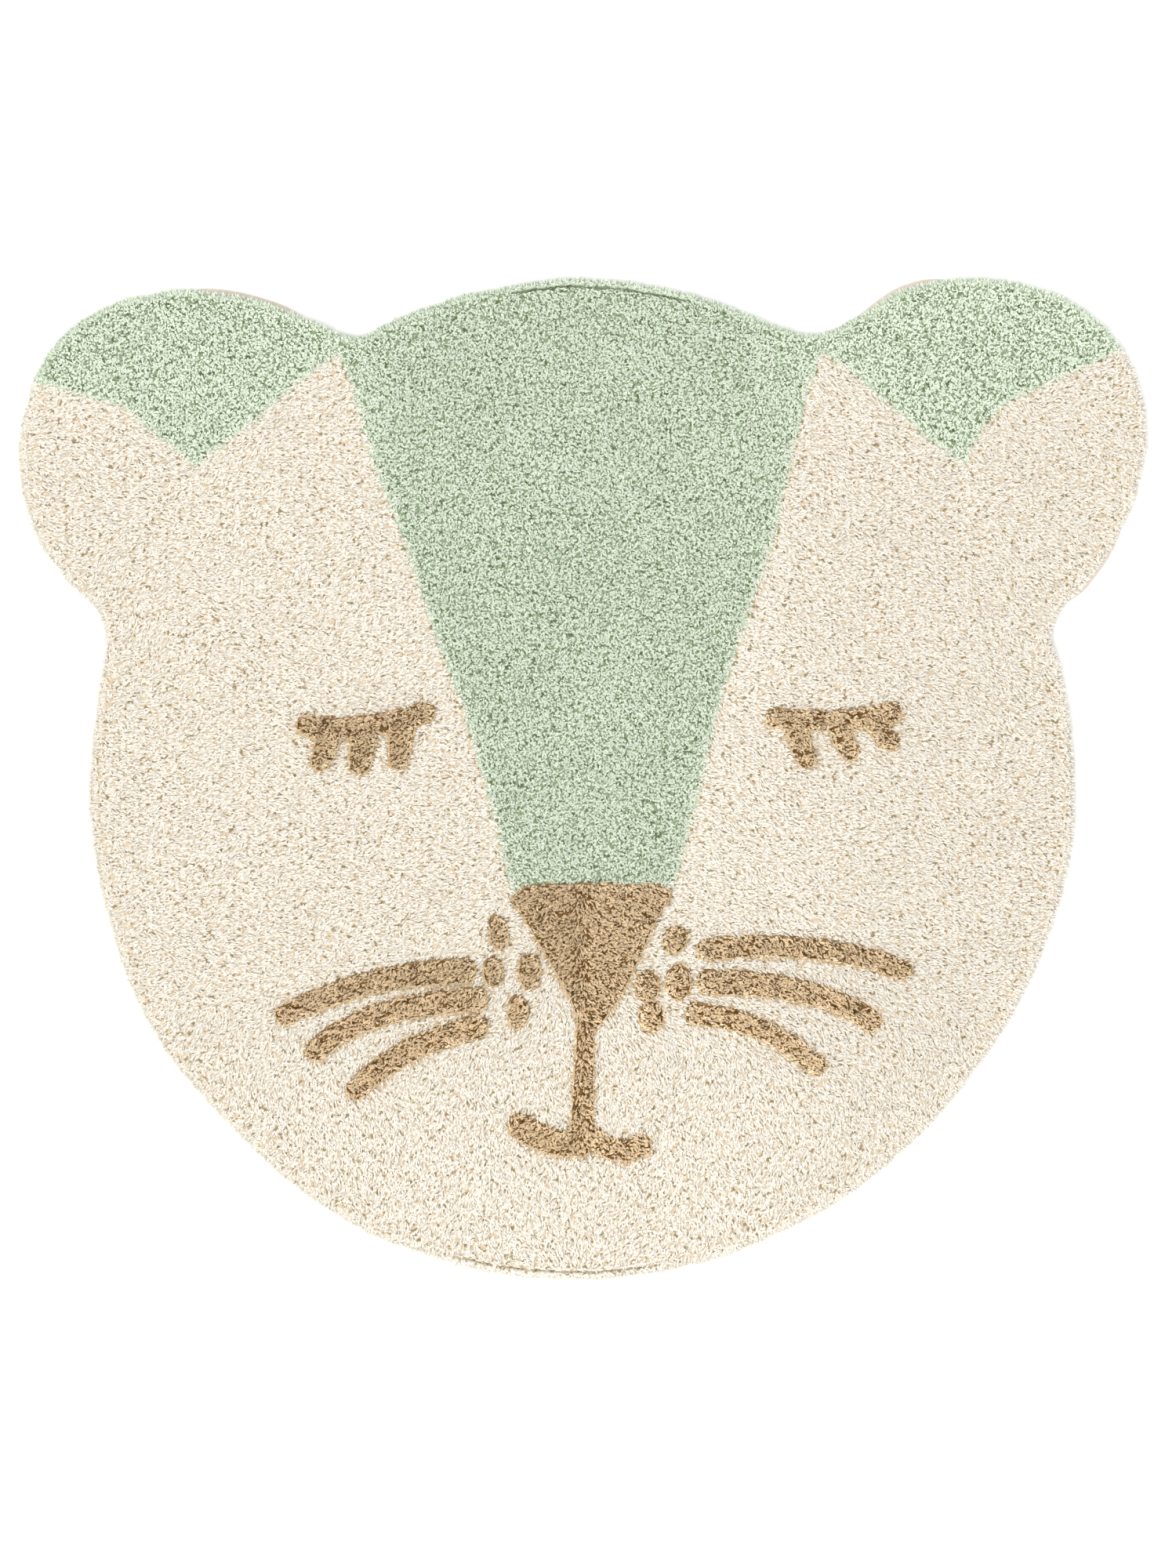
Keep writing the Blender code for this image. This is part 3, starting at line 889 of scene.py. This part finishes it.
def model_yarn():
    """One cut yarn end, modelled once: a ridge from root to tip, and an edge on either side of its waist."""
    bpy.ops.object.select_all(action="DESELECT")
    bpy.ops.mesh.primitive_cone_add(vertices=3, radius1=1.0, radius2=0.0, depth=1.0, location=(0.0, 0.0, 0.5))
    yarn = bpy.context.object
    bpy.ops.object.transform_apply(location=True, rotation=False, scale=False)
    for vertex in yarn.data.vertices:
        if vertex.co.z < 0.5:
            is_edge = vertex.co.y < 0.0
            vertex.co.z = YARN_WAIST * is_edge
            vertex.co.y = -YARN_EDGE_DROP * is_edge
            vertex.co.x /= FOOT_HALF_WIDTH
    return yarn


def yarn_pattern():
    """The modelled yarn as arrays: its corners, its faces, and their flat places in a unit square."""
    yarn = model_yarn()
    mesh = yarn.data
    corners = np.array([vertex.co[:] for vertex in mesh.vertices])
    faces = np.array([polygon.vertices[:] for polygon in mesh.polygons])
    is_top = np.array([polygon.normal.y > 0.0 for polygon in mesh.polygons])
    bpy.data.objects.remove(yarn)
    places = np.stack([0.5 + 0.5 * corners[:, 0], corners[:, 2]], axis=-1)[faces]
    places[is_top, :, 1] = 1.0 - MAP_TOP + MAP_TOP * places[is_top, :, 1]
    places[~is_top, :, 1] *= MAP_UNDER
    return corners, faces, places


def place_yarns(corners, ends, radius, roll):
    """Vertices of copies of the modelled yarn, each from its root to its tip."""
    roots, tips = ends[:2]
    tangent = unit(tips - roots)
    side = unit(np.stack([-tangent[:, 1], tangent[:, 0], np.zeros(len(roots))], axis=-1))
    normal = np.cross(tangent, side)
    x, y, along = corners.T
    right = (x * np.cos(roll[:, None]) - y * np.sin(roll[:, None])) * radius[:, None]
    up = (x * np.sin(roll[:, None]) + y * np.cos(roll[:, None])) * radius[:, None]
    axis = roots[:, None, :] + along[None, :, None] * (tips - roots)[:, None, :]
    return axis + right[..., None] * side[:, None, :] + up[..., None] * normal[:, None, :]


def build_yarns(name, yarn, ends, loop, pattern, material, random):
    """Many cut yarn ends as one joined piece."""
    corners, faces, places = pattern
    order = np.lexsort((ends[0][:, 1], np.round(ends[0][:, 0] / ROW_PITCH)))
    ends = [end[order] for end in ends]
    count = len(order)
    radius = YARNS[yarn][0] * random.uniform(*WIDTH_SHARES, count)
    roll = random.normal(0.0, math.radians(YARN_ROLL), count)
    vertices = place_yarns(corners, ends, radius, roll)
    all_faces = faces + (np.arange(count) * len(corners))[:, None, None]
    piece = mesh_piece(name, vertices.reshape(-1, 3), all_faces.reshape(-1, 3))
    piece.data.shade_flat()
    # Paler roots take less of the root's painted shade.
    pale = ends[3][:, None]
    set_numbers(piece, "height", (pale + (1.0 - pale) * corners[:, 2]).ravel())
    # The ridge is lighter than the flanks, which take painted shade.
    set_numbers(piece, "ridge", np.tile(1.0 - np.abs(corners[:, 0]), count))
    # Random tone of each end, with painted shade on sunk yarns and on the right side, and lighter parts.
    shade = random.uniform(0.0, 1.0, count) - SUNK_PAINTED_SHADE * ends[2] + tone_and_painted_shade(ends[0], yarn)
    set_numbers(piece, "shade", np.repeat(shade, len(corners)))
    # Painted light at the rim, most on the side that faces the light.
    at_root, at_tip = rim_shares(ends, loop)
    set_numbers(piece, "rim", (at_root[:, None] + (at_tip - at_root)[:, None] * corners[:, 2]).ravel())
    set_bake_map(piece, places, count)
    piece.data.materials.append(material)
    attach(piece, "root")
    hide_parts("pile")
    "pile_" + yarn
    return piece


def ear_share(points):
    """How far out toward the ears and the cheeks' sides each point lies, from 0 to 1."""
    return smooth_step(*EAR_REACH, np.abs(points[:, 0]))


def tone_and_painted_shade(points, yarn):
    """How much lighter or darker the pile is in parts of the rug, in shades: painted shade on the right side,
    away from the light, and lighter ears, chin and mouth.
    """
    side = ear_share(points)
    if yarn == "sage":
        return EAR_LIGHTER * side
    if yarn == "cream":
        lighter = CHIN_LIGHTER * smooth_step(*CHIN_REACH, points[:, 1])
        return lighter - RIGHT_PAINTED_SHADE * side * (points[:, 0] > 0.0)
    return MOUTH_LIGHTER * smooth_step(*MOUTH_REACH, points[:, 1])


def set_numbers(piece, name, numbers):
    """Store one number at each vertex."""
    layer = piece.data.attributes.new(name, "FLOAT", "POINT")
    layer.data.foreach_set("value", np.asarray(numbers, np.float32))


def set_bake_map(piece, places, count):
    """Give each yarn its own small square of the flat map."""
    cells = math.ceil(math.sqrt(count))
    number = np.arange(count)
    cell = np.stack([number // cells, number % cells], axis=-1)[:, None, None, :]
    flat = (cell + MAP_MARGIN + (1.0 - 2.0 * MAP_MARGIN) * places) / cells
    layer = piece.data.uv_layers.new(name="OFBake")
    layer.data.foreach_set("uv", flat.astype(np.float32).ravel())


def merged_copy(node, name):
    """A copy of a CAD node's mesh as a piece of its own, merged, in edit mode and all selected."""
    mesh = frame["nodes"][node].data.copy()
    mesh.materials.clear()
    piece = bpy.data.objects.new(name, mesh)
    bpy.context.scene.collection.objects.link(piece)
    activate(piece)
    bpy.ops.object.mode_set(mode="EDIT")
    bpy.ops.mesh.select_mode(type="FACE")
    bpy.ops.mesh.select_all(action="SELECT")
    bpy.ops.mesh.remove_doubles(threshold=MERGE_REACH)
    return piece


def split_faces(piece, chosen):
    """Cut the chosen faces of a piece in four."""
    bpy.ops.object.mode_set(mode="EDIT")
    bpy.ops.mesh.select_all(action="DESELECT")
    bpy.ops.object.mode_set(mode="OBJECT")
    piece.data.polygons.foreach_set("select", chosen)
    bpy.ops.object.mode_set(mode="EDIT")
    bpy.ops.mesh.subdivide(number_cuts=1)
    bpy.ops.mesh.quads_convert_to_tris()
    bpy.ops.object.mode_set(mode="OBJECT")


def face_facts(mesh):
    """Centre and area of each face."""
    centres = np.empty(len(mesh.polygons) * 3)
    areas = np.empty(len(mesh.polygons))
    mesh.polygons.foreach_get("center", centres)
    mesh.polygons.foreach_get("area", areas)
    return centres.reshape(-1, 3), areas


def build_ground(loop, sage):
    """The dense lower part of the pile: the CAD pile drawn in under the cut ends."""
    ground = merged_copy("pile", "pile_ground")
    bpy.ops.object.mode_set(mode="OBJECT")
    mesh = ground.data
    split_faces(ground, face_facts(mesh)[1] > GROUND_FACE)
    for _ in range(2):
        centres, areas = face_facts(mesh)
        near, _ = rim_facts(centres[:, :2], sage)
        split_faces(ground, (np.abs(near) < EDGE_REACH) & (areas > EDGE_FACE))
    colour_ground(mesh, sage, loop)
    sink_ground(mesh, loop)
    mesh.materials.append(ground_finish())
    mesh.shade_smooth()
    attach(ground, "root")
    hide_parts("pile")
    return ground


def sink_ground(mesh, loop):
    """Lower the ground under the cut ends, draw it in at the rim, and give it lumps."""
    points = np.empty(len(mesh.vertices) * 3)
    mesh.vertices.foreach_get("co", points)
    points = points.reshape(-1, 3)
    inset, outward = rim_facts(points[:, :2], loop)
    length, height, plane = GROUND_LUMPS
    drop = GROUND_DROP + soft_noise(points[:, :2], length, plane) * height
    share = np.clip((points[:, 2] - PILE_BASE) / GROUND_SUNK_AT, 0.0, 1.0)
    drawn = GROUND_INSET * (1.0 - smooth_step(*GROUND_DRAWN, inset))
    points[:, :2] -= outward * drawn[:, None]
    points[:, 2] -= drop * share + FEATURE_DROP * np.maximum(points[:, 2] - GROUND_TOP, 0.0)
    mesh.vertices.foreach_set("co", points.ravel())
    mesh.update()


def colour_ground(mesh, sage, loop):
    """Give each face of the ground the darker colour of the yarn that it belongs to, darkened as painted
    shade deep in the pile.
    """
    centres, _ = face_facts(mesh)
    inset, _ = rim_facts(centres[:, :2], loop)
    sage_inset, _ = rim_facts(centres[:, :2], sage)
    steep = np.array([polygon.normal.z < STEEP_BELOW for polygon in mesh.polygons])
    upper = np.array([polygon.normal.y > UPWARD_ABOVE for polygon in mesh.polygons])
    level = centres[:, 2] - GROUND_TOP
    raised = (level > FEATURE_STEP) | (steep & (level > FOOT_OF_SHAPE))
    is_sage = (sage_inset > 0.0)[:, None]
    tones = np.ones((len(centres), 4))
    tones[:, :3] = np.where(is_sage, GROUND_COLOURS["sage"], GROUND_COLOURS["cream"])
    # Painted light on the ground at the rim.
    rim = RIM_GROUND_PALE * (1.0 - smooth_step(*RIM_GROUND, inset))[:, None]
    tones[:, :3] += rim * (np.where(is_sage, COLOURS["sage"][0], COLOURS["cream"][0]) - tones[:, :3])
    # Less painted shade on the ground along the edge of the sage yarn.
    outer, inner = SAGE_EDGE_GROUND
    tones[(sage_inset > outer) & (sage_inset < inner), :3] = EDGE_COLOURS["sage"]
    tones[raised, :3] = GROUND_COLOURS["tan"]
    # Painted light on the steep sides of raised shapes, painted shade on those that face up the rug.
    tones[raised & steep, :3] = EDGE_COLOURS["tan"]
    tones[raised & steep & upper, :3] = EDGE_COLOURS["tan in shade"]
    # Painted shade on the ground in the creases.
    outer, inner = CREASE_GROUND
    tones[(inset > outer) & (inset < inner) & (level < -CREASE_LOW), :3] *= CREASE_PAINTED_SHADE
    layer = mesh.attributes.new("yarn", "FLOAT_COLOR", "FACE")
    layer.data.foreach_set("color", tones.astype(np.float32).ravel())


def build_pile():
    """All the tufted yarns and the ground under them."""
    random = np.random.default_rng(SEED)
    loop = underside_loop("pile")
    heights = pile_surface()
    sage = sage_loop()
    pattern = yarn_pattern()
    rim = lay_rim_yarns(loop, random)
    rim_sage = inside_loop(rim[0][:, :2], sage)
    # Pale roots of the rim rows: painted light.
    rim += (np.where(rim_sage, RIM_ROW_PALE["sage"], RIM_ROW_PALE["cream"]),)
    pieces = [build_ground(loop, sage)]
    parts = (
        # yarn, rim yarns, number of pieces
        ("cream", ~rim_sage, 5),
        ("sage", rim_sage, 4),
        ("tan", np.zeros(len(rim_sage), bool), 1),
    )
    for yarn, chosen_rim, shares in parts:
        material = yarn_finish(yarn)
        roots, numbers = tuft(yarn, sage, loop, heights, random)
        field = lay_yarns(roots, numbers, yarn, loop, heights, random)
        ends = tuple(np.concatenate([part, edge[chosen_rim]]) for part, edge in zip(field, rim))
        limits = np.quantile(ends[0][:, 0], np.linspace(0.0, 1.0, shares + 1))
        limits[-1] += MM
        for number, (low, high) in enumerate(zip(limits, limits[1:])):
            part = (ends[0][:, 0] >= low) & (ends[0][:, 0] < high)
            piece_ends = tuple(end[part] for end in ends)
            name = f"{yarn}_pile_{number + 1}"
            pieces.append(build_yarns(name, yarn, piece_ends, loop, pattern, material, random))
    return pieces


# --------------------------------------------------------------- the backing


def build_backing():
    """The canvas under the pile, with its hem turned under and sewn."""
    backing = merged_copy("backing", "backing_canvas")
    bpy.ops.mesh.select_all(action="DESELECT")
    bpy.ops.object.mode_set(mode="OBJECT")
    mesh = backing.data
    mesh.materials.append(canvas_finish())
    for polygon in mesh.polygons:
        polygon.select = polygon.normal.z < FACING_DOWN
    bpy.ops.object.mode_set(mode="EDIT")
    bpy.ops.mesh.dissolve_faces()
    for width, rise in ((HEM_SEAM, 0.0), *HEM_GROOVE, (HEM_EDGE, 0.0), (HEM_STEP, HEM_FOLD)):
        bpy.ops.mesh.inset(thickness=width)
        bpy.ops.transform.translate(value=(0.0, 0.0, rise))
    bpy.ops.object.mode_set(mode="OBJECT")
    mesh.set_sharp_from_angle(angle=math.radians(SHARP_ANGLE))
    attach(backing, "root")
    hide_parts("backing")
    return backing


def model_thread():
    """One machine stitch, modelled once: a short three-sided thread with drawn-in, closed ends."""
    bpy.ops.object.select_all(action="DESELECT")
    middle = THREAD_LENGTH - 2.0 * THREAD_END
    turn = (0.0, 0.5 * math.pi, 0.0)
    bpy.ops.mesh.primitive_cylinder_add(vertices=3, radius=THREAD_RADIUS, depth=middle, rotation=turn)
    thread = bpy.context.object
    bpy.ops.object.transform_apply(location=False, rotation=True, scale=False)
    bpy.ops.object.mode_set(mode="EDIT")
    bpy.ops.mesh.select_mode(type="FACE")
    for side in (-1.0, 1.0):
        bpy.ops.mesh.select_all(action="DESELECT")
        bpy.ops.object.mode_set(mode="OBJECT")
        for polygon in thread.data.polygons:
            polygon.select = polygon.normal.x * side > FACING_END
        bpy.ops.object.mode_set(mode="EDIT")
        bpy.ops.mesh.extrude_region_move(TRANSFORM_OT_translate={"value": (side * THREAD_END, 0.0, 0.0)})
        bpy.ops.transform.resize(value=(1.0, THREAD_END_SCALE, THREAD_END_SCALE))
    bpy.ops.mesh.select_all(action="SELECT")
    bpy.ops.mesh.quads_convert_to_tris()
    bpy.ops.object.mode_set(mode="OBJECT")
    return thread


def build_seam():
    """The row of machine stitches that holds the hem."""
    thread = model_thread()
    corners = np.array([vertex.co[:] for vertex in thread.data.vertices])
    faces = np.array([polygon.vertices[:] for polygon in thread.data.polygons])
    bpy.data.objects.remove(thread)
    edge, onward, outward = walk_loop(underside_loop("backing"), THREAD_PITCH)
    middle = edge - outward * (HEM_SEAM + HEM_GROOVE[0][0] + 0.5 * HEM_GROOVE[1][0])
    spread = corners[:, 0][:, None] * onward[:, None, :] + corners[:, 1][:, None] * outward[:, None, :]
    level = np.tile(corners[:, 2] + HEM_GROOVE[0][1], (len(middle), 1))
    vertices = np.concatenate([middle[:, None, :] + spread, level[..., None]], axis=-1)
    all_faces = faces + (np.arange(len(middle)) * len(corners))[:, None, None]
    seam = mesh_piece("hem_stitching", vertices.reshape(-1, 3), all_faces.reshape(-1, 3))
    seam.data.shade_smooth()
    seam.data.materials.append(thread_finish())
    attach(seam, "root")
    return seam


# ------------------------------------------------------ floor, light, camera


def build_stage():
    """Plain pale floor."""
    bpy.ops.mesh.primitive_plane_add(size=FLOOR_SIZE, location=(0.0, 0.0, -FLOOR_DROP))
    floor = bpy.context.object
    floor.name = "floor"
    floor.data.materials.append(floor_finish())


def add_sun(azimuth, elevation, angle, strength):
    """A large soft light, even over the whole floor, from a compass direction and height in degrees."""
    lamp = bpy.data.lights.new("key", "SUN")
    lamp.angle = math.radians(angle)
    lamp.energy = strength
    light = bpy.data.objects.new("key", lamp)
    turn, rise = math.radians(azimuth), math.radians(elevation)
    source = Vector((math.cos(turn) * math.cos(rise), math.sin(turn) * math.cos(rise), math.sin(rise)))
    light.location = source * SUN_DISTANCE
    light.rotation_euler = (-source).to_track_quat("-Z", "Y").to_euler()
    bpy.context.scene.collection.objects.link(light)


def light_scene():
    """A pale room, with the main light from the lower left of the picture."""
    world = bpy.data.worlds.new("studio")
    world.use_nodes = True
    background = world.node_tree.nodes["Background"]
    background.inputs["Color"].default_value = (1.0, 1.0, 1.0, 1.0)
    background.inputs["Strength"].default_value = ROOM_LIGHT
    bpy.context.scene.world = world
    add_sun(**SUN)
    bpy.context.scene.view_settings.view_transform = "Standard"


def add_camera():
    """Camera straight above, framed as the picture is."""
    lens = bpy.data.cameras.new("camera")
    lens.lens = LENS
    lens.sensor_width = SENSOR
    camera = bpy.data.objects.new("camera", lens)
    distance = LENS / SENSOR * PICTURE_HEIGHT * PIXEL
    right = (0.5 * PICTURE_WIDTH - RUG_CENTRE_PIXEL[0]) * PIXEL
    up = (RUG_CENTRE_PIXEL[1] - 0.5 * PICTURE_HEIGHT) * PIXEL
    camera.location = (right, up, distance)
    lens.clip_end = CLIP_END
    bpy.context.scene.collection.objects.link(camera)
    bpy.context.scene.camera = camera


def main():
    """The rug on its floor, with the light and the camera."""
    add_camera()
    light_scene()
    build_stage()
    worked = build_pile() + [build_seam()]
    backing = build_backing()


main()
